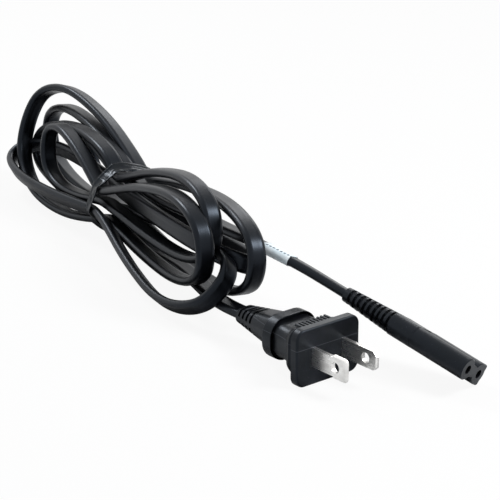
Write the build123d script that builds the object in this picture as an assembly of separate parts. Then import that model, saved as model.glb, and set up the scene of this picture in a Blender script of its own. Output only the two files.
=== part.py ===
# Power cord: two-blade mains plug, flat two-core cord in a tied hank, figure-eight connector.
# +X is the way the plug's blades point, +Z is up and the table is Z = 0.
import os
from math import radians, tan

from build123d import *

os.makedirs("parts", exist_ok=True)

# Plug: face plate, waist, finger flange and strain relief, all round one level axis
plug_x = 2.1
plug_y = -11.9
plate_width = 26.4
plate_height = 19.4
plate_depth = 3.0
plate_corner = 3.4
plate_edge = 0.7
waist_length = 15.0
waist_narrowest = 0.55
waist_front_width = 22.0
waist_front_height = 15.5
waist_width = 18.6
waist_height = 11.6
waist_rear_width = 17.2
waist_rear_height = 12.4
waist_corner = 4.2
grip_count = 7
grip_pitch = 1.35
grip_thickness = 0.65
grip_length = 5.0
grip_rise = 1.0
flange_width = 19.0
flange_height = 14.6
flange_depth = 4.6
flange_corner = 6.6
flange_edge = 1.9
plug_relief_length = 19.0
plug_relief_width = 14.4
plug_relief_height = 11.0
plug_relief_corner = 4.6
relief_wall = 1.3
relief_sleeve_share = 0.55
relief_end_flat = 0.6

# Slots across a strain relief, cut down to a sleeve round the cord
plug_slot_count = 4
plug_slot_pitch = 2.35
plug_slot_width = 1.15
plug_slot_land = 1.5
plug_slot_rail = 1.5

# Blades: nickel-plated strips, the neutral one with a wide end, and their crimped tails
blade_spacing = 12.7
blade_thickness = 1.5
blade_length = 16.2
blade_height = 6.35
blade_wide_height = 7.94
blade_wide_start = 10.1
blade_corner = 1.5
blade_chamfer = 0.45
blade_hole = 3.6
blade_hole_back = 5.1
tail_length = 10.0
tail_height = 4.4
crimp_length = 4.0
crimp_wall = 0.4

# Carrier that holds the two blades inside the moulding
carrier_front = 1.2
carrier_depth = 5.2
carrier_height = 8.4
carrier_margin = 0.9
carrier_corner = 1.6

# Flat cord: two cores side by side
cord_width = 5.6
cord_thickness = 2.8
strand_radius = 0.75
core_skin = 0.05
core_bend = 2.0
core_straight = 3.0
split_inset = 5.0

# Connector: figure-eight nose with one square lobe, smooth grip, ringed strain relief
connector_x = 37.6
connector_y = 17.1
connector_yaw = 9.2
connector_dip = 14.4
connector_roll = -30.6
pin_spacing = 8.6
pin_socket_radius = 1.5
lobe_radius = 3.7
square_reach = 3.3
square_corner = 0.7
nose_length = 21.0
grip_body_length = 9.0
web_height = 4.0
nose_edge = 0.3
connector_relief_length = 21.5
connector_relief_width = 13.6
connector_end_width = 8.2
connector_end_thickness = 5.0
collar_length = 2.0
ring_depth = 1.2
ring_end_depth = 0.75
block_ring_count = 3
block_ring_length = 2.9
block_ring_gap = 1.5
block_slot_width = 1.2
block_slot_inset = 2.6
thin_ring_count = 3
thin_ring_length = 1.1
thin_ring_gap = 1.0
contact_front = 1.2
contact_length = 8.4
contact_bore_length = 7.8
contact_bore = 1.25
contact_wall = 0.35
connector_split = 34.0
insert_front = 2.4
insert_length = 9.0
insert_margin = 0.9

# Hank: outer form of the folded cord, gathered at its waist by the tie
hank_waist_x = -149.3
hank_waist_y = 15.0
hank_waist_z = 14.9
hank_yaw = -10.0
hank_waist_width = 24.0
hank_waist_height = 24.0
tie_width = 9.0
tie_thickness = 0.9
lobe_roundness = 0.46
# Each lobe's sections: distance from the waist, width, height, and sideways place and height of its middle
right_lobe = [
    (26, 36, 36, -1.0, 17.6), (56, 44, 42, -2.0, 20.6), (84, 34, 42, -3.0, 21.5),
    (98, 16, 36, -6.0, 21.0), (104, 13, 32, -7.0, 20.0),
]
left_lobe = [(24, 34, 42, 1.0, 20.6), (48, 40, 48, 1.0, 23.6), (70, 34, 40, 0.0, 20.0), (84, 18, 24, 0.0, 16.0)]

# Route of the connector's lead, from behind its strain relief into the hank
connector_lead_clear = 17.0
connector_lead_points = [(-46.0, 2.5, 28.6), (-66.5, 2.8, 28.2)]

# Paper sleeve wrapped round the connector's lead
sleeve_thickness = 0.25
sleeve_length = 13.0
sleeve_clearance = 0.04

plug_z = plate_height / 2
plug_waist_back = -(plate_depth + waist_length)
flange_back = plug_waist_back - flange_depth
plug_back = flange_back - plug_relief_length
plug_core_split = flange_back - split_inset
core_offset = cord_width / 2 - cord_thickness / 2
connector_body_length = nose_length + grip_body_length
connector_back = -(connector_body_length + connector_relief_length)
connector_lead_exit_reach = connector_lead_clear - connector_back


def write(part, node):
    """Writes one sub-part to its STEP file."""
    part.label = node
    export_step(part, f"parts/{node}.step")
    print(f"{node:24s} volume {part.volume:10.2f}")


def across(x, width, height, corner):
    """A rounded rectangle square to the X axis at x."""
    return Plane.YZ.offset(x) * RectangleRounded(width, height, corner)


def cord_outline(grow=0.0):
    """The flat cord's section: two round cores joined side by side."""
    return SlotOverall(cord_width + 2 * grow, cord_thickness + 2 * grow)


def rounded_path(points):
    """Straight runs joined by tangent arcs, as large as their runs allow."""
    radii = []
    for before, here, after in zip(points, points[1:], points[2:]):
        run_in = Vector(*here) - Vector(*before)
        run_out = Vector(*after) - Vector(*here)
        half_turn = radians(run_in.get_angle(run_out)) / 2
        radii.append(0.45 * min(run_in.length, run_out.length) / tan(half_turn))
    print("arc radii", [round(radius, 1) for radius in radii])
    return FilletPolyline(*[Vector(*point) for point in points], radius=radii)


def along(path, outline, width_direction):
    """An outline swept along a path, its width square to the way it starts."""
    return sweep(Plane(origin=path @ 0, x_dir=width_direction, z_dir=path % 0) * outline, path)


def cord_tube(path, width_direction):
    """The flat cord along one of its routes."""
    tube = along(path, cord_outline(), width_direction)
    section = cord_outline().area
    print(f"tube volume {tube.volume:.1f}, section times length {section * path.length:.1f}")
    return tube


def straight_lead(start):
    """The flat cord from a point in the plug, level and straight, up to the hank's near face."""
    reach = start[0] - hank_waist_x
    tube = Pos(*start) * extrude(Plane.YZ * cord_outline(), -reach)
    return tube - hank_place * Pos(right_lobe[-1][0] - reach, 0, 0) * Box(2 * reach, 2 * reach, 2 * reach)


# Plug blades, in the plug's own frame: face at x = 0, blades along +x
def blade(y, wide):
    """One contact blade with its hole, tail and crimp barrel."""
    front = blade_length
    half = blade_height / 2
    half_end = blade_wide_height / 2 if wide else half
    outline = Polyline(
        (0, -half), (blade_wide_start, -half), (blade_wide_start, -half_end), (front, -half_end),
        (front, half_end), (blade_wide_start, half_end), (blade_wide_start, half), (0, half), close=True,
    ) if wide else Polyline((0, -half), (front, -half), (front, half), (0, half), close=True)
    face = make_face(outline)
    tips = [corner for corner in face.vertices() if corner.X > front - blade_chamfer]
    face = fillet(tips, blade_corner) if wide else chamfer(tips, blade_corner)
    face -= Pos(front - blade_hole_back, 0) * Circle(blade_hole / 2)
    strip = extrude(Plane.XZ * face, blade_thickness / 2, both=True)
    tip_edges = [
        edge for edge in strip.edges().filter_by(Axis.Z)
        if edge.center().X > front - blade_chamfer / 2
    ]
    strip = chamfer(tip_edges, blade_chamfer)
    root_depth = carrier_front + carrier_depth
    strip += Pos(-root_depth / 2, 0, 0) * Box(root_depth, blade_thickness, blade_height)
    tail_reach = tail_length - root_depth
    strip += Pos(-root_depth - tail_reach / 2, 0, 0) * Box(tail_reach, blade_thickness, tail_height)
    barrel = Plane.YZ.offset(-tail_length) * Circle(strand_radius + crimp_wall)
    strip += extrude(barrel, -crimp_length)
    strip -= extrude(Plane.YZ.offset(-tail_length - crimp_wall) * Circle(strand_radius), -crimp_length)
    return Pos(0, y, 0) * strip


def core_route(side):
    """From the cord's end inside the plug out to one blade's crimp, kept in the moulding."""
    crimp_back = tail_length + crimp_length
    spread = side * blade_spacing / 2
    inner = side * core_offset
    return [
        (plug_core_split, inner, 0), (plug_core_split + core_straight, inner, 0),
        (-crimp_back - core_straight, spread, 0), (-crimp_back, spread, 0),
    ]


def plug_core(side):
    """One insulated core between the split cord and its crimp."""
    path = FilletPolyline(*core_route(side), radius=core_bend)
    section = Plane(origin=path @ 0, z_dir=path % 0) * Circle(cord_thickness / 2 - core_skin)
    return sweep(section, path)


def strands(side):
    """The bare copper that fills one crimp barrel."""
    start = -tail_length - crimp_length
    fill = crimp_length - crimp_wall
    return extrude(Plane.YZ.offset(start) * (Pos(side * blade_spacing / 2, 0) * Circle(strand_radius)), fill)


def carrier():
    """The block that grips both blades."""
    width = blade_spacing + blade_thickness + 2 * carrier_margin
    return extrude(across(-carrier_front, width, carrier_height, carrier_corner), -carrier_depth)


def plug_waist():
    """The narrow middle that the fingers hold, flaring to the face plate, with its grip ribs."""
    back = plug_waist_back
    middle = -plate_depth - waist_length * waist_narrowest
    sections = [
        across(back, waist_rear_width, waist_rear_height, waist_corner),
        across(middle, waist_width, waist_height, waist_corner),
        across(-plate_depth, waist_front_width, waist_front_height, waist_corner),
    ]
    waist = loft(sections)
    for index in range(grip_count):
        y = (index - (grip_count - 1) / 2) * grip_pitch
        for up in (1, -1):
            low = up * (waist_height / 2 - grip_rise / 2)
            high = up * (waist_front_height / 2 + grip_rise)
            start = -plate_depth - grip_length
            rib = make_face(Polyline((start, low), (-plate_depth, low), (-plate_depth, high), close=True))
            waist += Pos(0, y, 0) * extrude(Plane.XZ * rib, grip_thickness / 2, both=True)
    return waist


def plug_relief():
    """The tapered strain relief, slotted above and below a rail on each side."""
    big = across(flange_back, plug_relief_width, plug_relief_height, plug_relief_corner)
    end_width = cord_width + 2 * relief_wall
    end_height = cord_thickness + 2 * relief_wall
    end = across(plug_back, end_width, end_height, (end_height - relief_end_flat) / 2)
    relief = loft([big, end])
    sleeve = extrude(Plane.YZ.offset(plug_back) * cord_outline(relief_wall * relief_sleeve_share), plug_relief_length)
    rail = Pos(plug_back, 0, 0) * Box(plug_relief_length * 2, plug_relief_width * 2, plug_slot_rail)
    for index in range(plug_slot_count):
        x = plug_back + plug_slot_land + plug_slot_width / 2 + index * plug_slot_pitch
        slot = Pos(x, 0, 0) * Box(plug_slot_width, plug_relief_width * 2, plug_relief_height * 2)
        relief -= slot - sleeve - rail
    return relief


def plug_body(inner):
    """The one-piece moulding round the blades and the cord's end."""
    plate = extrude(across(0, plate_width, plate_height, plate_corner), -plate_depth)
    plate = fillet(plate.faces().sort_by(Axis.X)[-1].edges(), plate_edge)
    flange = extrude(across(plug_waist_back, flange_width, flange_height, flange_corner), -flange_depth)
    flange = fillet(flange.faces().filter_by(Axis.X).edges(), flange_edge)
    body = plate + plug_waist() + flange + plug_relief()
    for piece in inner:
        body -= piece
    return body


# Connector, in its own frame: face at x = 0, nose along +x, square lobe towards +y
def figure_eight():
    """The nose's outline: a round lobe, a lobe squared on its outside, and the web between."""
    half = pin_spacing / 2
    lobes = Pos(-half, 0) * Circle(lobe_radius) + Pos(half, 0) * Circle(lobe_radius)
    square = Pos(half + square_reach / 2, 0) * Rectangle(square_reach, 2 * lobe_radius)
    outer = [corner for corner in square.vertices() if corner.X > half + square_reach / 2]
    square = fillet(outer, square_corner)
    return lobes + square + Rectangle(pin_spacing, web_height)


def grip_outline():
    """The oval that the figure eight fills out to behind the nose."""
    width = pin_spacing + lobe_radius + square_reach
    middle = (square_reach - lobe_radius) / 2
    return Pos(middle, 0) * RectangleRounded(width, 2 * lobe_radius, lobe_radius - square_corner / 2)


def ring_gaps():
    """Start and length of each groove round the strain relief, from the cord's side."""
    gaps = []
    start = collar_length
    for index in range(block_ring_count):
        gaps.append((start, block_ring_gap))
        start += block_ring_gap + block_ring_length
    for index in range(thin_ring_count):
        gaps.append((start, thin_ring_gap))
        start += thin_ring_gap + thin_ring_length
    return gaps


def connector_relief():
    """The ringed strain relief: a collar, slotted block rings and thin rings."""
    back = Plane.YZ.offset(connector_back)
    front = Plane.YZ.offset(-connector_body_length)
    relief = loft([
        back * SlotOverall(connector_end_width, connector_end_thickness),
        front * SlotOverall(connector_relief_width, 2 * lobe_radius),
    ])
    core = loft([
        back * SlotOverall(connector_end_width - 2 * ring_end_depth, connector_end_thickness - 2 * ring_end_depth),
        front * SlotOverall(connector_relief_width - 2 * ring_depth, 2 * (lobe_radius - ring_depth)),
    ])
    reach = 2 * connector_relief_width
    for start, length in ring_gaps():
        groove = Pos(connector_back + start + length / 2, 0, 0) * Box(length, reach, reach)
        relief -= groove - core
    for start, length in ring_gaps()[:block_ring_count]:
        middle = connector_back + start + length + block_ring_length / 2
        for side in (1, -1):
            slot = Box(block_slot_width, connector_relief_width, reach)
            reach_in = side * (connector_end_width / 2 - block_slot_inset + connector_relief_width / 2)
            relief -= Pos(middle, reach_in, 0) * slot - core
    return relief


def connector_body(inner):
    """The smooth moulding from the figure-eight face to the end of the strain relief."""
    nose = extrude(Plane.YZ * figure_eight(), -nose_length)
    nose = chamfer(nose.faces().sort_by(Axis.X)[-1].edges(), nose_edge)
    grip = extrude(Plane.YZ.offset(-nose_length) * grip_outline(), -grip_body_length)
    body = nose + grip + connector_relief()
    for side in (1, -1):
        body -= socket_bore(side, pin_socket_radius, contact_front)
        body -= socket_bore(side, contact_bore, contact_front + contact_bore_length)
    for piece in inner:
        body -= piece
    return body


def socket_bore(side, radius, depth):
    """The round hole that one pin of the appliance goes into, from the face."""
    return extrude(Plane.YZ * (Pos(side * pin_spacing / 2, 0) * Circle(radius)), -depth)


def contact(side):
    """One female contact: a rolled tube with a crimp barrel behind it."""
    centre = Pos(side * pin_spacing / 2, 0)
    front = Plane.YZ.offset(-contact_front)
    tube = extrude(front * (centre * Circle(contact_bore + contact_wall)), -contact_length)
    tube -= extrude(front * (centre * Circle(contact_bore)), -contact_bore_length)
    back = Plane.YZ.offset(-contact_front - contact_length)
    tube += extrude(back * (centre * Circle(strand_radius + crimp_wall)), -crimp_length)
    hollow = Plane.YZ.offset(-contact_front - contact_length - crimp_wall)
    return tube - extrude(hollow * (centre * Circle(strand_radius)), -crimp_length)


def contact_strands(side):
    """The bare copper that fills a contact's crimp."""
    start = Plane.YZ.offset(-contact_front - contact_length - crimp_length)
    return extrude(start * (Pos(side * pin_spacing / 2, 0) * Circle(strand_radius)), crimp_length - crimp_wall)


def connector_core(side):
    """One insulated core between a contact and the split end of the cord."""
    crimp_back = contact_front + contact_length + crimp_length
    spread = side * pin_spacing / 2
    inner = side * core_offset
    points = [
        (-connector_split, inner, 0), (-connector_split + split_inset, inner, 0),
        (-crimp_back - split_inset, spread, 0), (-crimp_back, spread, 0),
    ]
    path = FilletPolyline(*points, radius=core_bend)
    section = Plane(origin=path @ 0, z_dir=path % 0) * Circle(cord_thickness / 2 - core_skin)
    return sweep(section, path)


def connector_insert():
    """The insulating block that spaces the two contacts."""
    outline = Rectangle(pin_spacing, web_height - 2 * insert_margin)
    for side in (1, -1):
        outline += Pos(side * pin_spacing / 2, 0) * Circle(contact_bore + contact_wall + insert_margin)
    block = extrude(Plane.YZ.offset(-insert_front) * outline, -insert_length)
    for side, socket, fill in zip((1, -1), contacts, contact_fills):
        block = block - socket_bore(side, contact_bore, contact_front + contact_bore_length) - socket - fill
    return block


# Hank, in its own frame: +x from the waist to the lobe beside the plug
def lobe(sections, side):
    """One lobe of the hank, swelling from the waist and closing round its bights."""
    waist = Plane.YZ.offset(side * tie_width / 2) * RectangleRounded(
        hank_waist_width, hank_waist_height, hank_waist_width * lobe_roundness)
    faces = [Pos(0, 0, hank_waist_z) * waist]
    for distance, width, height, sideways, middle in sections:
        outline = RectangleRounded(width, height, min(width, height) * lobe_roundness)
        faces.append(Pos(0, sideways, middle) * (Plane.YZ.offset(side * distance) * outline))
    return loft(faces)


def hank_form():
    """The whole hank: two lobes and the waist under the tie, flat where it lies."""
    waist = Pos(0, 0, hank_waist_z) * extrude(
        Plane.YZ.offset(-tie_width / 2)
        * RectangleRounded(hank_waist_width, hank_waist_height, hank_waist_width * lobe_roundness),
        tie_width,
    )
    form = lobe(right_lobe, 1) + lobe(left_lobe, -1) + waist
    room = right_lobe[-1][0] * 4
    return form - Pos(0, 0, -room / 2) * Box(room, room, room)


def tie_band():
    """The strap round the waist."""
    radius = hank_waist_width * lobe_roundness
    inside = RectangleRounded(hank_waist_width, hank_waist_height, radius)
    outside = RectangleRounded(
        hank_waist_width + 2 * tie_thickness, hank_waist_height + 2 * tie_thickness, radius + tie_thickness)
    return Pos(0, 0, hank_waist_z) * extrude(Plane.YZ.offset(-tie_width / 2) * (outside - inside), tie_width)


# Plug pieces
plug_place = Pos(plug_x, plug_y, plug_z)
blade_narrow = blade(blade_spacing / 2, False)
blade_wide = blade(-blade_spacing / 2, True)
plug_cores = [plug_core(side) for side in (1, -1)]
plug_strands = [strands(side) for side in (1, -1)]
plug_carrier = carrier() - blade_narrow - blade_wide
plug_lead_start = (plug_x + plug_core_split, plug_y, plug_z)
hank_place = Pos(hank_waist_x, hank_waist_y, 0) * Rot(0, 0, hank_yaw)
plug_lead = straight_lead(plug_lead_start)
plug_moulding = plug_body([
    blade_narrow, blade_wide, plug_carrier, *plug_cores, *plug_strands, plug_place.inverse() * plug_lead])

# Connector pieces, placed so that its lowest corner meets the table
contacts = [contact(side) for side in (1, -1)]
contact_fills = [contact_strands(side) for side in (1, -1)]
connector_cores = [connector_core(side) for side in (1, -1)]
insert = connector_insert()
turned = Rot(0, 0, connector_yaw) * Rot(0, connector_dip, 0) * Rot(connector_roll, 0, 0)
nose_form = turned * extrude(Plane.YZ * figure_eight(), -nose_length)
connector_z = -nose_form.bounding_box().min.Z
connector_place = Pos(connector_x, connector_y, connector_z) * turned


def behind_face(distance):
    """A point on the connector's axis, that far behind its face, in the part's frame."""
    point = (connector_place * Pos(-distance, 0, 0)).position
    return (point.X, point.Y, point.Z)


width_axis = Plane(connector_place).y_dir
connector_path = rounded_path(
    [behind_face(connector_split), behind_face(connector_lead_exit_reach), *connector_lead_points])
connector_lead = cord_tube(connector_path, width_axis)
connector_moulding = connector_body([
    *contacts, insert, *contact_fills, *connector_cores, connector_place.inverse() * connector_lead])

# Sleeve on the bend where the connector's lead reaches the hank
sleeve_bend = connector_path.edges().filter_by(GeomType.CIRCLE)[-1]
sleeve_stretch = sleeve_bend.trim(0, sleeve_length / sleeve_bend.length)
sleeve_ring = cord_outline(sleeve_clearance + sleeve_thickness) - cord_outline(sleeve_clearance)
sleeve = along(sleeve_stretch, sleeve_ring, width_axis)

# Hank and tie
hank = hank_place * hank_form() - connector_lead

print("connector stands at z", round(connector_z, 3))
for distance in (0, contact_front, -connector_back, connector_lead_exit_reach):
    print("on the connector's axis", distance, [round(value, 3) for value in behind_face(distance)])
print("connector axis", [round(value, 5) for value in Plane(connector_place).x_dir])
print("connector width", [round(value, 5) for value in width_axis])

write(plug_place * plug_moulding, "plug_body")
write(plug_place * plug_carrier, "plug_carrier")
write(plug_place * blade_narrow, "blade_narrow")
write(plug_place * blade_wide, "blade_wide")
write(connector_place * connector_moulding, "connector_body")
write(connector_place * insert, "connector_insert")
for name, core, bare, socket, fill, lead_core in zip(
    ("live", "neutral"), plug_cores, plug_strands, contacts, contact_fills, connector_cores
):
    write(plug_place * core, f"plug_core_{name}")
    write(plug_place * bare, f"plug_strands_{name}")
    write(connector_place * socket, f"contact_{name}")
    write(connector_place * fill, f"contact_strands_{name}")
    write(connector_place * lead_core, f"connector_core_{name}")
write(plug_lead, "cord_plug_lead")
write(connector_lead, "cord_connector_lead")
write(hank, "cord_hank")
write(hank_place * tie_band(), "tie")
write(sleeve, "label_sleeve")
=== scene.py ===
"""Power cord: moulded two-blade plug, flat cord folded into a tied hank, figure-eight connector."""
from math import cos, pi, radians, sin

import bmesh
import bpy
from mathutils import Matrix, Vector


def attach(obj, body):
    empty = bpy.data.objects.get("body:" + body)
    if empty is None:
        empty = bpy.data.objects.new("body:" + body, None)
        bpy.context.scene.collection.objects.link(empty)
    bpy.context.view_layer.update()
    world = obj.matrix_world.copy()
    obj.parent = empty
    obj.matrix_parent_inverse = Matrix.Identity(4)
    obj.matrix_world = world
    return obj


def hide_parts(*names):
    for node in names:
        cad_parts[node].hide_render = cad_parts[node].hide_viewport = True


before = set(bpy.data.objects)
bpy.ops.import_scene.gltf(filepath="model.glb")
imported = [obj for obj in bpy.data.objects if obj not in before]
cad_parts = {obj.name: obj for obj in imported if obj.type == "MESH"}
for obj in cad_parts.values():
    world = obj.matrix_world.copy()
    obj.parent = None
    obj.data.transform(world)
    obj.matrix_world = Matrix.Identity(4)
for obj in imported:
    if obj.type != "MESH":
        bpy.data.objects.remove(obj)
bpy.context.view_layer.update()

MM = 0.001

# Flat cord: two cores side by side in one black sheath, in millimetres
CORD_WIDTH = 6.8
CORD_THICKNESS = 3.1
# Its outline: steps round each end, and the points on a flat face as shares of half the face
CORD_END_STEPS = 6
CORD_FACE_STOPS = (0.94, 0.45, 0.0, -0.45, -0.94)
# Its centre line: the spline's order, and the samples from one route point to the next
CORD_ORDER = 3
CORD_SAMPLES = 9

# The hank's own frame, in millimetres: its place, and its directions along, across and up
HANK_ORIGIN = Vector((-149.3, 15.0, 0.0))
HANK_YAW = radians(-10.0)
HANK_ALONG = Vector((cos(HANK_YAW), sin(HANK_YAW), 0.0))
HANK_ACROSS = Vector((-sin(HANK_YAW), cos(HANK_YAW), 0.0))
UP = Vector((0.0, 0.0, 1.0))

# Route of the plug's lead and of the connector's lead, in the hank's frame: along, across and up
PLUG_LEAD = [
    (122.2, -5.8, 9.7), (112.8, -7.4, 9.7), (103.4, -9.1, 9.7), (93.0, -8.6, 9.3),
    (80.0, -6.0, 8.5), (57.0, -1.5, 7.0), (28.0, -1.0, 5.0),
]
CONNECTOR_LEAD = [
    (30.0, 4.0, 24.0), (55.0, 3.0, 26.5), (80.0, 3.0, 28.0), (92.0, 3.5, 28.6), (104.0, 5.0, 28.4),
    (118.0, 11.5, 24.5), (128.0, 15.2, 21.7), (136.6, 18.1, 19.4), (147.1, 21.8, 16.5),
]
# The way that the cord's width faces at each point of the connector's lead,
# turning over to the connector's own tilt
CONNECTOR_FACING = [
    (0.0, 1.0, 0.0), (0.0, 1.0, 0.0), (0.0, 1.0, 0.0), (0.0, 1.0, -0.2), (0.0, 1.0, -0.4),
    (0.0, 0.85, -0.5), (0.0, 0.83, -0.5), (0.0, 0.83, -0.5), (0.0, 0.83, -0.5),
]

# Where the cord goes through the tie, each time: across and up
CROSSINGS = [
    (-1.0, 4.8), (1.5, 23.7), (-4.5, 16.0), (-5.6, 20.0), (-4.0, 9.5), (11.8, 21.8),
    (6.0, 9.5), (8.5, 14.0), (2.0, 19.0), (-8.6, 12.5), (2.5, 12.5), (6.2, 23.6),
]
# Each fold of the hank: side, reach, place of its far end, how its first leg spreads across and up,
# the second leg's share of that spread, and how late the fold opens
FOLDS = [
    (-1, 82.0, (3.0, 14.0), (0.0, -6.2), 2.8, 0.0),
    (1, 91.0, (-7.0, 30.0), (1.0, 16.0), 0.65, 0.6),
    (-1, 54.0, (-5.0, 24.0), (-1.0, -10.0), 1.2, 0.6),
    (1, 95.5, (-12.5, 25.5), (0.0, 16.0), 0.78, 0.6),
    (-1, 83.0, (-1.0, 27.0), (-7.0, -19.0), 1.0, 0.4),
    (1, 114.0, (-3.0, 26.0), (1.0, 14.0), 1.0, 0.5),
    (-1, 46.0, (9.0, 22.0), (2.0, -10.0), 1.0, 0.5),
    (1, 98.0, (3.0, 20.0), (8.0, -3.0), 1.0, 0.6),
    (-1, 84.5, (-5.0, 14.0), (8.0, 4.0), 1.0, 0.5),
    (1, 103.5, (-10.0, 17.0), (-11.0, -13.0), 0.4, 0.8),
    (-1, 84.0, (9.0, 22.0), (-1.0, -11.0), 1.3, 0.3),
]
# Route points round a fold, and how blunt its far end is, where 2 is round
FOLD_STEPS = 10
FOLD_BLUNTNESS = 2.5

# Tie: thin glossy film pulled round the cords at the waist, in millimetres of the hank's frame
TIE_MIDDLE = (1.8, 14.0)
TIE_START = -2.6
TIE_WIDTH = 4.6
TIE_FILM = 0.3
TIE_CLEAR = 0.25
# How far to each side along the hank the film still feels a cord
TIE_SLICE = 2.2
# Points of the film across its width and round the waist
TIE_COLUMNS = 13
TIE_TURNS = 96
# Steps to each side of a turn whose cords can hold the film off there
TIE_SUPPORT = TIE_TURNS // 5
# Creases: their height, and each one's waves round the film, lean across it and share
TIE_CRINKLE = 0.25
TIE_RIPPLES = [(9, 5, 0.6), (17, -9, 0.4)]
# How the film's far edge wanders: how far, its waves round the film and where they start
TIE_WANDER = 0.8
TIE_WANDER_WAVES = 3
TIE_WANDER_START = 1.0
# Radius on which the film's finish is laid out, in metres
TIE_LAY_RADIUS = 0.013

# Sleeve on the connector's lead, in millimetres: how far back from the cord's end it lies,
# its length, its outer face's distance from the cord and its inner face's
SLEEVE_BACK = 37.5
SLEEVE_LENGTH = 13.0
SLEEVE_FILM = 0.3
SLEEVE_CLEAR = 0.04
# Its dashed line: where it begins and ends, each as a rise in squared millimetres from the
# sleeve's middle, and its dashes as radians in a metre and a rise of their sine
LINE_INNER = (3.6, 4.2)
LINE_OUTER = (7.6, 8.4)
DASH_WAVE = 4400.0
DASH_RISE = (-0.5, 0.0)
SQUARE_MM_IN_SQUARE_M = 1000000.0

# Plug: the block behind its plate, the finger flange and the ribs on the block, in millimetres
PLUG_AXIS = (-11.9, 9.7)
PLUG_BLOCK = {"back": -8.3, "front": -0.8, "width": 22.2, "height": 15.8, "corner": 4.4, "edge": 1.1}
PLUG_FLANGE = {"back": -20.6, "front": -13.4, "width": 19.6, "height": 15.0, "corner": 6.4, "edge": 3.0}
PLUG_RIB = {"back": -7.0, "front": -1.6, "width": 0.8, "height": 1.0, "corner": 0.25, "edge": 0.2}
PLUG_RIB_COUNT = 9
PLUG_RIB_PITCH = 1.5
# Steps round a block's long corners and its rims, and how sharp an edge is a rim
CORNER_STEPS = 8
RIM_STEPS = 4
RIM_ANGLE = radians(50.0)
# The plug's parting line: its height, and how wide the painted highlight along it is to each side
PLUG_SEAM = 12.9
PLUG_SEAM_HIGHLIGHT_REACH = 0.16

# Colours, as shares of red, green, blue and cover
WHITE = (1.0, 1.0, 1.0, 1.0)
FLOOR_GREY = (0.86, 0.87, 0.88, 1.0)
NICKEL = (0.93, 0.92, 0.9, 1.0)
DULL_NICKEL = (0.72, 0.71, 0.69, 1.0)
SCRATCHED_NICKEL = (0.97, 0.96, 0.94, 1.0)
COPPER = (0.86, 0.5, 0.33, 1.0)
DULL_COPPER = (0.55, 0.28, 0.17, 1.0)
BRASS = (0.3, 0.25, 0.15, 1.0)
DULL_BRASS = (0.12, 0.1, 0.07, 1.0)
CARRIER_DARK = (0.05, 0.05, 0.054, 1.0)
CARRIER_PALE = (0.09, 0.09, 0.095, 1.0)
CORE_DARK = (0.03, 0.03, 0.034, 1.0)
CORE_PALE = (0.07, 0.07, 0.075, 1.0)
PAPER_BLUE = (0.74, 0.86, 0.93, 1.0)
PAPER_PALE = (0.88, 0.94, 0.98, 1.0)
INK = (0.05, 0.08, 0.12, 1.0)
# How close the flow marks of the two mouldings lie, along each
PLUG_FLOW = 60.0
CONNECTOR_FLOW = 45.0
# Gloss of the black pieces, low and with a cool cast
CORD_GLOSS = {"Specular IOR Level": 0.26, "Specular Tint": (0.68, 0.81, 1.0, 1.0)}
MOULDED_GLOSS = {"Specular IOR Level": 0.26, "Specular Tint": (0.7, 0.83, 1.0, 1.0)}

# Camera: its place in metres, its direction, and its lens, sensor and nearest seen distance
CAMERA_PLACE = (0.413641, -0.382558, 0.243999)
CAMERA_VIEW = (-0.72622, 0.59738, -0.34016)
CAMERA_LENS = 136.566
SENSOR = 36.0
NEAREST_SEEN = 0.01

# Studio: the room's light, the floor and how white the camera sees it, in metres
ROOM_LEVEL = 0.18
FLOOR_SIZE = 6.0
FLOOR_HEIGHT = -0.0002
FLOOR_WHITENESS = 0.92
# Lamps, all aimed at one place: name, place, width and height in metres, power in watts
LAMP_AIM = (-0.08, 0.0, 0.02)
LAMPS = [
    ("right_lamp", (0.36, 0.28, 0.58), (0.26, 0.26), 4.7),
    ("left_lamp", (-0.62, -0.02, 0.56), (0.2, 0.2), 2.2),
    ("back_lamp", (-0.62, 0.75, 0.5), (0.4, 0.16), 0.9),
]


def in_hank(along, across, up):
    """A point of the hank's frame, in the object's frame, in millimetres."""
    return HANK_ORIGIN + HANK_ALONG * along + HANK_ACROSS * across + UP * up


def facing_in_hank(along, across, up):
    """A direction of the hank's frame, in the object's frame."""
    return (HANK_ALONG * along + HANK_ACROSS * across + UP * up).normalized()


# Camera
def add_camera():
    """The camera that sees the cord as the photograph does."""
    lens = bpy.data.cameras.new("camera")
    lens.lens = CAMERA_LENS
    lens.sensor_width = SENSOR
    lens.clip_start = NEAREST_SEEN
    camera = bpy.data.objects.new("camera", lens)
    camera.location = CAMERA_PLACE
    camera.rotation_euler = Vector(CAMERA_VIEW).to_track_quat("-Z", "Y").to_euler()
    bpy.context.scene.collection.objects.link(camera)
    bpy.context.scene.camera = camera


# Cord
def fold(start, end, side, reach, far_end, spread, share, lateness):
    """One fold's points between two crossings, and how far out along the fold each one is."""
    # How far a round fold of this lateness opens, so that spread is about its real reach
    widest = -lateness / (1 + lateness)
    most = (1 - widest * widest) ** 0.5 * ((1 - widest) / 2) ** lateness
    points = []
    for step in range(1, FOLD_STEPS):
        turn = 2 * pi * step / FOLD_STEPS
        out = 1 - abs(cos(turn / 2)) ** FOLD_BLUNTNESS
        passed = (1 - cos(turn / 2)) / 2
        turned = passed * passed * (3 - 2 * passed)
        away = sin(turn) * out ** lateness / most * (1 + (share - 1) * turned)
        across = start[0] + (end[0] - start[0]) * passed
        up = start[1] + (end[1] - start[1]) * passed
        across += (far_end[0] - across) * out + spread[0] * away
        up += (far_end[1] - up) * out + spread[1] * away
        points.append(((side * reach * out, across, up), out))
    return points


def same_way(direction, other):
    """The direction or its opposite, whichever lies nearer to the other one."""
    return -direction if direction.dot(other) < 0 else direction


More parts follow.
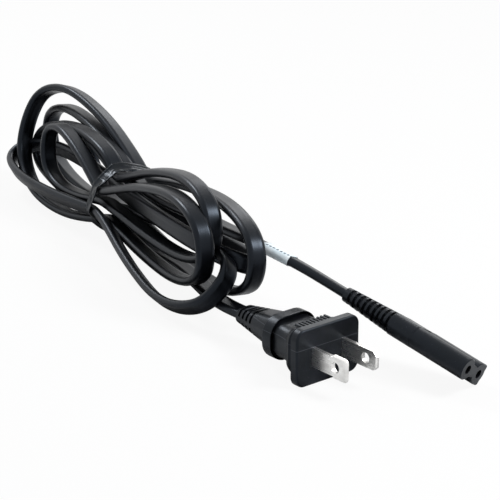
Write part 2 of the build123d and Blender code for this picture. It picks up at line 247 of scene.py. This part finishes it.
def fold_facings():
    """The way that the cord's width faces in each fold: square to it, turning as little as it can."""
    facings = [Vector((0.0, 1.0, 0.0))]
    for start, end, shape in zip(CROSSINGS, CROSSINGS[1:], FOLDS):
        side, reach, far_end, spread = shape[:4]
        axis = Vector((side * reach, far_end[0], far_end[1] - (start[1] + end[1]) / 2))
        facings.append(same_way(axis.cross(Vector((0.0, *spread))).normalized(), facings[-1]))
    facings.append(same_way(Vector(CONNECTOR_FACING[0]), facings[-1]))
    return facings


def cord_route():
    """The cord's points from the plug to the connector, in metres, and its width's facing at each."""
    flats = fold_facings()
    stops = [(point, flats[0]) for point in PLUG_LEAD]
    for number, (start, end, shape) in enumerate(zip(CROSSINGS, CROSSINGS[1:], FOLDS)):
        before, flat, after = flats[number:number + 3]
        stops.append(((0.0, *start), (before + flat).normalized()))
        for index, (point, out) in enumerate(fold(start, end, *shape)):
            beside = before if index < FOLD_STEPS / 2 else after
            stops.append((point, (beside + flat).normalized().lerp(flat, out)))
    stops.append(((0.0, *CROSSINGS[-1]), flats[-1]))
    for point, facing in zip(CONNECTOR_LEAD, CONNECTOR_FACING):
        stops.append((point, same_way(Vector(facing), stops[-1][1])))
    points = [in_hank(*point) * MM for point, facing in stops]
    return points, [facing_in_hank(*facing) for point, facing in stops]


def spline_through(points):
    """The smooth centre line that a NURBS spline gives for a route, as points close together."""
    curve = bpy.data.curves.new("route", "CURVE")
    curve.dimensions = "3D"
    curve.resolution_u = CORD_SAMPLES
    spline = curve.splines.new("NURBS")
    spline.points.add(len(points) - 1)
    for place, point in zip(spline.points, points):
        place.co = (*point, 1.0)
    spline.order_u = CORD_ORDER
    spline.use_endpoint_u = True
    holder = bpy.data.objects.new("route", curve)
    bpy.context.scene.collection.objects.link(holder)
    bpy.context.view_layer.update()
    drawn = holder.evaluated_get(bpy.context.evaluated_depsgraph_get())
    line = bpy.data.meshes.new_from_object(drawn)
    samples = [vertex.co.copy() for vertex in line.vertices]
    bpy.data.objects.remove(holder)
    bpy.data.meshes.remove(line)
    return samples


def facings_along(samples, facings):
    """The cord's width and thickness directions at each sample of its centre line."""
    # The spline has two spans fewer than route points, and passes half a span after each of them
    spans = len(facings) - 2
    widths = []
    for index in range(len(samples)):
        place = spans * index / (len(samples) - 1) + 0.5
        low = int(place)
        widths.append(facings[low].lerp(facings[low + 1], place - low))
    frames = []
    for index in range(len(samples)):
        near = widths[max(0, index - CORD_SAMPLES):index + CORD_SAMPLES + 1]
        ahead = samples[min(index + 1, len(samples) - 1)] - samples[max(index - 1, 0)]
        tangent = ahead.normalized()
        width = sum(near, Vector()) / len(near)
        width = (width - tangent * width.dot(tangent)).normalized()
        frames.append((width, tangent.cross(width)))
    return frames


def cord_section(grow=0.0):
    """The flat cord's outline, across and through in millimetres, or one that lies off it by grow."""
    radius = CORD_THICKNESS / 2
    centre = CORD_WIDTH / 2 - radius
    reach = radius + grow
    outline = []
    for side in (1, -1):
        for step in range(CORD_END_STEPS + 1):
            turn = (1 - side) * pi / 2 + pi / 2 - pi * step / CORD_END_STEPS
            outline.append((side * centre + reach * cos(turn), reach * sin(turn)))
        for share in CORD_FACE_STOPS:
            outline.append((side * centre * share, -side * reach))
    return outline


def join_rings(shape, rings):
    """Walls from each ring of points to the next."""
    for ring, following in zip(rings, rings[1:]):
        for index in range(len(ring)):
            beside = (index + 1) % len(ring)
            shape.faces.new((ring[index], ring[beside], following[beside], following[index]))


def smooth_piece(name, shape):
    """A smooth piece with its faces turned outwards, from a shape that is then done with."""
    bmesh.ops.recalc_face_normals(shape, faces=shape.faces)
    mesh = bpy.data.meshes.new(name)
    shape.to_mesh(mesh)
    shape.free()
    for face in mesh.polygons:
        face.use_smooth = True
    piece = bpy.data.objects.new(name, mesh)
    bpy.context.scene.collection.objects.link(piece)
    return piece


def tube(name, samples, frames, outline, caps):
    """A piece that carries an outline along samples, with its own lay: along, across and through."""
    shape = bmesh.new()
    lay = shape.verts.layers.float_vector.new("lay")
    rings = []
    travelled = 0.0
    for index, (centre, (width, through)) in enumerate(zip(samples, frames)):
        if index:
            travelled += (centre - samples[index - 1]).length
        ring = []
        for across, depth in outline:
            vertex = shape.verts.new(centre + width * (across * MM) + through * (depth * MM))
            vertex[lay] = (travelled, across * MM, depth * MM)
            ring.append(vertex)
        rings.append(ring)
    join_rings(shape, rings)
    if caps:
        shape.faces.new(list(reversed(rings[0])))
        shape.faces.new(rings[-1])
    return smooth_piece(name, shape)


# Shader maths
class Field:
    """A number that changes over a surface, as a socket of a finish's nodes."""

    def __init__(self, finish, socket):
        self.finish = finish
        self.socket = socket

    def maths(self, operation, *numbers):
        return self.finish.number("ShaderNodeMath", {"operation": operation}, dict(enumerate(numbers)))

    def sine(self):
        return self.maths("SINE", self)

    def __add__(self, other):
        return self.maths("ADD", self, other)

    def __sub__(self, other):
        return self.maths("SUBTRACT", self, other)

    def __rsub__(self, other):
        return self.maths("SUBTRACT", other, self)

    def __mul__(self, other):
        return self.maths("MULTIPLY", self, other)

    __radd__ = __add__
    __rmul__ = __mul__


class Finish:
    """One procedural material, with the constants of its surface set on the shader itself."""

    def __init__(self, name, constants):
        self.material = bpy.data.materials.new(name)
        self.material.use_nodes = True
        self.nodes = self.material.node_tree.nodes
        self.links = self.material.node_tree.links
        self.shader = self.nodes["Principled BSDF"]
        for socket, value in constants.items():
            self.shader.inputs[socket].default_value = value

    def node(self, kind, settings, inputs):
        """Any node: its settings first, then the values or links of its sockets."""
        node = self.nodes.new(kind)
        for key, value in settings.items():
            setattr(node, key, value)
        for key, value in inputs.items():
            if isinstance(value, Field):
                self.links.new(value.socket, node.inputs[key])
            elif isinstance(value, bpy.types.NodeSocket):
                self.links.new(value, node.inputs[key])
            else:
                node.inputs[key].default_value = value
        return node

    def number(self, kind, settings, inputs):
        """A node whose first output is a number."""
        return Field(self, self.node(kind, settings, inputs).outputs[0])

    def where(self, attribute=None):
        """The surface's own place, in metres, from the object or an attribute."""
        if attribute:
            return self.node("ShaderNodeAttribute", {"attribute_name": attribute}, {}).outputs["Vector"]
        return self.node("ShaderNodeTexCoord", {}, {}).outputs["Object"]

    def place(self, scale, attribute=None):
        """The surface's own place, stretched by scale."""
        mapping = self.node("ShaderNodeMapping", {}, {"Vector": self.where(attribute), "Scale": scale})
        return mapping.outputs["Vector"]

    def parts(self, place):
        """A place's X, Y and Z, each as an output."""
        return self.node("ShaderNodeSeparateXYZ", {}, {"Vector": place}).outputs

    def noise(self, place, detail=3.0, roughness=0.55):
        """Even noise from 0 to 1, about 0.5 in its middle."""
        return self.number(
            "ShaderNodeTexNoise", {},
            {"Vector": place, "Scale": 1.0, "Detail": detail, "Roughness": roughness})

    def step(self, value, low, high):
        """0 below low, 1 above high and a soft rise between them."""
        return self.number(
            "ShaderNodeMapRange", {"interpolation_type": "SMOOTHSTEP"},
            {"Value": value, "From Min": low, "From Max": high})

    def mix(self, share, first, second):
        """A colour between two colours."""
        node = self.node("ShaderNodeMix", {"data_type": "RGBA"}, {0: share, 6: first, 7: second})
        return node.outputs[2]

    def wear(self, colour, roughness, relief, height, metallic=None):
        """Leads colour, roughness, relief of a height in metres and metal into the shader."""
        self.links.new(colour, self.shader.inputs["Base Color"])
        self.links.new(roughness.socket, self.shader.inputs["Roughness"])
        if metallic:
            self.links.new(metallic.socket, self.shader.inputs["Metallic"])
        bump = self.node("ShaderNodeBump", {}, {"Height": relief, "Strength": 1.0, "Distance": height})
        self.links.new(bump.outputs["Normal"], self.shader.inputs["Normal"])
        return self.material


# Finishes
def grey_blue(level, blue=1.25):
    """A near-black with a cool cast, as dark vinyl has."""
    return (level, level * 1.06, level * blue, 1.0)


def cord_finish():
    """Satin black vinyl sheath with fine lengthwise drag lines and soft uneven gloss."""
    finish = Finish("cord_vinyl", CORD_GLOSS)
    lines = finish.noise(finish.place((4.0, 1300.0, 1300.0), attribute="lay"), 2.0)
    waves = finish.noise(finish.place((60.0, 90.0, 90.0), attribute="lay"), 2.0)
    mottle = waves * 0.6 + lines * 0.4
    colour = finish.mix(finish.step(mottle, 0.35, 0.68), grey_blue(0.001), grey_blue(0.0032, 1.5))
    scuffs = finish.step(lines * waves, 0.3, 0.42)
    colour = finish.mix(scuffs * 0.15, colour, grey_blue(0.03))
    roughness = 0.18 + waves * 0.08 + lines * 0.22
    return finish.wear(colour, roughness, lines, 0.00002)


def moulding_finish(name, flow_scale, seam=None):
    """Moulded black vinyl: very fine grain, flow marks, rubbed gloss, and a painted highlight along the
    parting line at seam.
    """
    finish = Finish(name, MOULDED_GLOSS)
    grain = finish.noise(finish.place((4200.0, 4200.0, 4200.0)), 2.0)
    flow = finish.noise(finish.place((flow_scale, flow_scale * 3.0, flow_scale * 3.0)), 4.0, 0.6)
    cloud = finish.noise(finish.place((90.0, 90.0, 90.0)), 2.0)
    colour = finish.mix(finish.step(flow, 0.3, 0.75), grey_blue(0.002), grey_blue(0.006, 1.5))
    specks = finish.step(finish.noise(finish.place((1500.0, 1500.0, 1500.0)), 2.0), 0.68, 0.75)
    colour = finish.mix(specks * 0.3, colour, grey_blue(0.09))
    roughness = 0.22 + cloud * 0.12 + grain * 0.1 + specks * 0.1
    if seam:
        # Painted highlight: a pale line along the parting line, standing in for the light that its ridge
        # catches
        height = Field(finish, finish.parts(finish.where())["Z"])
        below = finish.step(height, (seam - PLUG_SEAM_HIGHLIGHT_REACH) * MM, seam * MM)
        above = finish.step(height, seam * MM, (seam + PLUG_SEAM_HIGHLIGHT_REACH) * MM)
        colour = finish.mix((below - above) * 0.5, colour, grey_blue(0.12))
    return finish.wear(colour, roughness, grain * 0.35 + flow * 1.2, 0.00004)


def plate_finish():
    """Bright nickel on rolled strip: brushed along its length, greyer in soft patches."""
    finish = Finish("nickel_strip", {"Specular IOR Level": 0.5})
    brushed = finish.noise(finish.place((130.0, 5200.0, 5200.0)), 3.0)
    cloud = finish.noise(finish.place((160.0, 240.0, 240.0)), 3.0)
    colour = finish.mix(finish.step(cloud, 0.35, 0.7), NICKEL, DULL_NICKEL)
    scratches = finish.step(brushed, 0.62, 0.72)
    colour = finish.mix(scratches * 0.35, colour, SCRATCHED_NICKEL)
    roughness = 0.16 + brushed * 0.16 + cloud * 0.1
    return finish.wear(colour, roughness, brushed, 0.00003, finish.step(cloud, -1.0, 0.2))


def metal_finish(name, bright, dull):
    """Drawn or rolled bare metal, brushed and slightly tarnished."""
    finish = Finish(name, {"Specular IOR Level": 0.5})
    brushed = finish.noise(finish.place((300.0, 3800.0, 3800.0)), 3.0)
    tarnish = finish.noise(finish.place((420.0, 420.0, 420.0)), 4.0)
    colour = finish.mix(finish.step(tarnish, 0.4, 0.7), bright, dull)
    roughness = 0.24 + tarnish * 0.3
    return finish.wear(colour, roughness, brushed, 0.00003, finish.step(tarnish, -1.0, 0.2))


def inner_finish(name, dark, pale):
    """Hidden moulded plastic: fine grain and faint flow marks."""
    finish = Finish(name, {"Specular IOR Level": 0.4})
    grain = finish.noise(finish.place((2600.0, 2600.0, 2600.0)), 3.0)
    flow = finish.noise(finish.place((180.0, 420.0, 420.0)), 3.0)
    colour = finish.mix(flow, dark, pale)
    return finish.wear(colour, 0.38 + grain * 0.2, grain, 0.00004)


def film_finish():
    """Glossy black film, crinkled where it was pulled tight."""
    finish = Finish("tie_film", MOULDED_GLOSS)
    creases = finish.noise(finish.place((320.0, 90.0, 140.0), attribute="lay"), 3.0)
    fine = finish.noise(finish.place((1400.0, 500.0, 500.0), attribute="lay"), 3.0)
    colour = finish.mix(finish.step(creases, 0.45, 0.72), grey_blue(0.001), grey_blue(0.003, 1.3))
    return finish.wear(colour, 0.14 + fine * 0.14, creases + fine * 0.06, 0.0005)


def label_finish():
    """Pale blue paper film with a dashed dark line near each edge of its faces."""
    finish = Finish("label_film", {"Specular IOR Level": 0.45})
    lay = finish.parts(finish.where("lay"))
    along, across = Field(finish, lay["X"]), Field(finish, lay["Y"])
    fibres = finish.noise(finish.place((500.0, 1500.0, 1500.0), attribute="lay"), 4.0)
    cloud = finish.noise(finish.place((160.0, 300.0, 300.0), attribute="lay"), 2.0)
    pale = finish.mix(finish.step(cloud, 0.3, 0.7), PAPER_BLUE, PAPER_PALE)
    aside = across * across * SQUARE_MM_IN_SQUARE_M
    line = finish.step(aside, *LINE_INNER) - finish.step(aside, *LINE_OUTER)
    dashes = finish.step((along * DASH_WAVE).sine(), *DASH_RISE)
    colour = finish.mix(line * dashes, pale, INK)
    return finish.wear(colour, 0.3 + fibres * 0.2, fibres, 0.00008)


def floor_finish():
    """Plain pale floor that the camera sees as white, and that keeps the soft shadow."""
    finish = Finish("floor", {"Specular IOR Level": 0.1, "Roughness": 0.9, "Base Color": FLOOR_GREY})
    path = finish.node("ShaderNodeLightPath", {}, {})
    seen = Field(finish, path.outputs["Is Camera Ray"])
    glow = finish.node("ShaderNodeEmission", {}, {"Color": WHITE, "Strength": 1.0})
    both = finish.node(
        "ShaderNodeMixShader", {},
        {0: seen * FLOOR_WHITENESS, 1: finish.shader.outputs["BSDF"], 2: glow.outputs["Emission"]})
    finish.links.new(both.outputs["Shader"], finish.nodes["Material Output"].inputs["Surface"])
    return finish.material


# New pieces
def add_cord():
    """The whole cord, from inside the plug's relief through the hank to inside the connector's."""
    points, facings = cord_route()
    samples = spline_through(points)
    frames = facings_along(samples, facings)
    piece = tube("cord", samples, frames, cord_section(), True)
    piece.data.materials.append(cord_finish())
    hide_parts("cord_hank", "cord_plug_lead", "cord_connector_lead")
    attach(piece, "root")
    return piece, samples, frames


def take(*pieces):
    """Selects these pieces alone, with the first of them active."""
    bpy.ops.object.select_all(action="DESELECT")
    for piece in pieces:
        piece.select_set(True)
    bpy.context.view_layer.objects.active = pieces[0]


def thicken(piece, film, offset):
    """Gives a thin piece its film's thickness, in millimetres, inwards at -1 or to both sides at 0."""
    take(piece)
    wall = piece.modifiers.new("film", "SOLIDIFY")
    wall.thickness = film * MM
    wall.offset = offset
    bpy.ops.object.modifier_apply(modifier=wall.name)


def add_sleeve(samples, frames):
    """The paper sleeve, a thin flat ring round a stretch of the connector's lead."""
    travelled = 0.0
    stretch = []
    for index in range(len(samples) - 1, 0, -1):
        travelled += (samples[index] - samples[index - 1]).length
        if SLEEVE_BACK * MM <= travelled <= (SLEEVE_BACK + SLEEVE_LENGTH) * MM:
            stretch.insert(0, index)
    first, last = stretch[0], stretch[-1] + 1
    piece = tube("label_wrap", samples[first:last], frames[first:last], cord_section(SLEEVE_FILM), False)
    thicken(piece, SLEEVE_FILM - SLEEVE_CLEAR, -1.0)
    piece.data.materials.append(label_finish())
    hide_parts("label_sleeve")
    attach(piece, "root")
    return piece


def tight_round(places):
    """How far a film pulled tight round places reaches from the tie's middle, at each turn."""
    spans = []
    for step in range(TIE_TURNS):
        turn = 2 * pi * step / TIE_TURNS
        spans.append(max(
            (across - TIE_MIDDLE[0]) * cos(turn) + (up - TIE_MIDDLE[1]) * sin(turn)
            for across, up in places))
    reaches = []
    for step in range(TIE_TURNS):
        reaches.append(min(
            spans[other % TIE_TURNS] / cos(2 * pi * (other - step) / TIE_TURNS)
            for other in range(step - TIE_SUPPORT, step + TIE_SUPPORT + 1)))
    return reaches


def add_tie(cord):
    """The film pulled round the waist, over every cord there, and crinkled towards the plug."""
    places = []
    for vertex in cord.data.vertices:
        place = vertex.co / MM - HANK_ORIGIN
        places.append((place.dot(HANK_ALONG), place.dot(HANK_ACROSS), place.z))
    shape = bmesh.new()
    lay = shape.verts.layers.float_vector.new("lay")
    columns = []
    for column in range(TIE_COLUMNS):
        share = column / (TIE_COLUMNS - 1)
        middle = TIE_START + share * TIE_WIDTH
        near = [(across, up) for along, across, up in places if abs(along - middle) < TIE_SLICE]
        ring = []
        for step, reach in enumerate(tight_round(near)):
            turn = 2 * pi * step / TIE_TURNS
            ripple = sum(sin(waves * turn + lean * share) * part for waves, lean, part in TIE_RIPPLES)
            far = reach + TIE_CLEAR + TIE_CRINKLE * (1 + ripple) * share
            along = middle + TIE_WANDER * sin(TIE_WANDER_WAVES * turn + TIE_WANDER_START) * share
            up = max(TIE_MIDDLE[1] + far * sin(turn), TIE_FILM)
            vertex = shape.verts.new(in_hank(along, TIE_MIDDLE[0] + far * cos(turn), up) * MM)
            vertex[lay] = (turn * TIE_LAY_RADIUS, share * TIE_WIDTH * MM, 0.0)
            ring.append(vertex)
        columns.append(ring)
    join_rings(shape, columns)
    piece = smooth_piece("tie_wrap", shape)
    thicken(piece, TIE_FILM, 0.0)
    piece.data.materials.append(film_finish())
    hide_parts("tie")
    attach(piece, "root")
    return piece


def moulded_block(shape, across, up):
    """A block along the plug's axis with rounded corners and softened rims."""
    length, width, height = shape["front"] - shape["back"], shape["width"], shape["height"]
    middle = (shape["front"] + shape["back"]) / 2
    bpy.ops.mesh.primitive_cube_add(size=1.0, location=(middle * MM, across * MM, up * MM))
    block = bpy.context.object
    block.scale = (length * MM, width * MM, height * MM)
    bpy.ops.object.transform_apply(location=True, rotation=False, scale=True)
    corners = block.data.vertices
    for edge in block.data.edges:
        start, end = (corners[index].co for index in edge.vertices)
        edge.select = abs(start.x - end.x) > length * MM / 2
    bpy.ops.object.mode_set(mode="EDIT")
    bpy.ops.mesh.bevel(offset=shape["corner"] * MM, segments=CORNER_STEPS, affect="EDGES")
    bpy.ops.object.mode_set(mode="OBJECT")
    rims = block.modifiers.new("rims", "BEVEL")
    rims.width = shape["edge"] * MM
    rims.segments = RIM_STEPS
    rims.angle_limit = RIM_ANGLE
    bpy.ops.object.modifier_apply(modifier=rims.name)
    bpy.ops.object.shade_smooth()
    return block


def add_plug_grip(finish):
    """The plug's block behind the plate with its ribs, and its deep finger flange."""
    across, up = PLUG_AXIS
    blocks = [moulded_block(PLUG_BLOCK, across, up), moulded_block(PLUG_FLANGE, across, up)]
    for index in range(PLUG_RIB_COUNT):
        aside = (index - (PLUG_RIB_COUNT - 1) / 2) * PLUG_RIB_PITCH
        for side in (1, -1):
            blocks.append(moulded_block(PLUG_RIB, across + aside, up + side * PLUG_BLOCK["height"] / 2))
    take(*blocks)
    bpy.ops.object.join()
    piece = bpy.context.object
    piece.name = "plug_grip"
    piece.data.materials.clear()
    piece.data.materials.append(finish)
    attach(piece, "root")


# Finishes of the rigid pieces
def paint(finish, *names):
    """Gives rigid pieces one finish."""
    for name in names:
        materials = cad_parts[name].data.materials
        materials.clear()
        materials.append(finish)


def paint_rigid_pieces():
    """Each moulding and metal piece's own finish, with the plug's grip in its moulding's."""
    plug_vinyl = moulding_finish("plug_vinyl", PLUG_FLOW, PLUG_SEAM)
    paint(plug_vinyl, "plug_body")
    add_plug_grip(plug_vinyl)
    paint(moulding_finish("connector_vinyl", CONNECTOR_FLOW), "connector_body")
    paint(plate_finish(), "blade_narrow", "blade_wide")
    paint(inner_finish("carrier_grain", CARRIER_DARK, CARRIER_PALE), "plug_carrier", "connector_insert")
    paint(inner_finish("core_skin", CORE_DARK, CORE_PALE),
          "plug_core_live", "plug_core_neutral", "connector_core_live", "connector_core_neutral")
    paint(metal_finish("bare_copper", COPPER, DULL_COPPER),
          "plug_strands_live", "plug_strands_neutral", "contact_strands_live", "contact_strands_neutral")
    paint(metal_finish("contact_brass", BRASS, DULL_BRASS), "contact_live", "contact_neutral")


# Studio
def add_lamp(name, place, size, power):
    """A soft lamp with a flat face, aimed at the cord."""
    lamp = bpy.data.lights.new(name, "AREA")
    lamp.shape = "RECTANGLE"
    lamp.size, lamp.size_y = size
    lamp.energy = power
    holder = bpy.data.objects.new(name, lamp)
    holder.location = place
    holder.rotation_euler = (Vector(LAMP_AIM) - Vector(place)).to_track_quat("-Z", "Y").to_euler()
    bpy.context.scene.collection.objects.link(holder)


def add_studio():
    """Floor, lamps and the white room round them."""
    bpy.ops.object.select_all(action="DESELECT")
    bpy.ops.mesh.primitive_plane_add(size=FLOOR_SIZE, location=(0.0, 0.0, FLOOR_HEIGHT))
    floor = bpy.context.object
    floor.name = "floor"
    floor.data.materials.append(floor_finish())
    for lamp in LAMPS:
        add_lamp(*lamp)
    world = bpy.data.worlds.new("room")
    bpy.context.scene.world = world
    world.use_nodes = True
    nodes, links = world.node_tree.nodes, world.node_tree.links
    path = nodes.new("ShaderNodeLightPath")
    white = path.outputs["Is Camera Ray"]
    for kind in ("Is Glossy Ray", "Is Transmission Ray"):
        either = nodes.new("ShaderNodeMath")
        either.operation = "ADD"
        links.new(white, either.inputs[0])
        links.new(path.outputs[kind], either.inputs[1])
        white = either.outputs["Value"]
    level = nodes.new("ShaderNodeMapRange")
    level.inputs["To Min"].default_value = ROOM_LEVEL
    links.new(white, level.inputs["Value"])
    links.new(level.outputs["Result"], nodes["Background"].inputs["Strength"])
    nodes["Background"].inputs["Color"].default_value = WHITE


# The whole scene
add_camera()
cord, cord_samples, cord_frames = add_cord()
tie_wrap = add_tie(cord)
label_wrap = add_sleeve(cord_samples, cord_frames)
paint_rigid_pieces()
add_studio()
bpy.context.scene.view_settings.view_transform = "Standard"
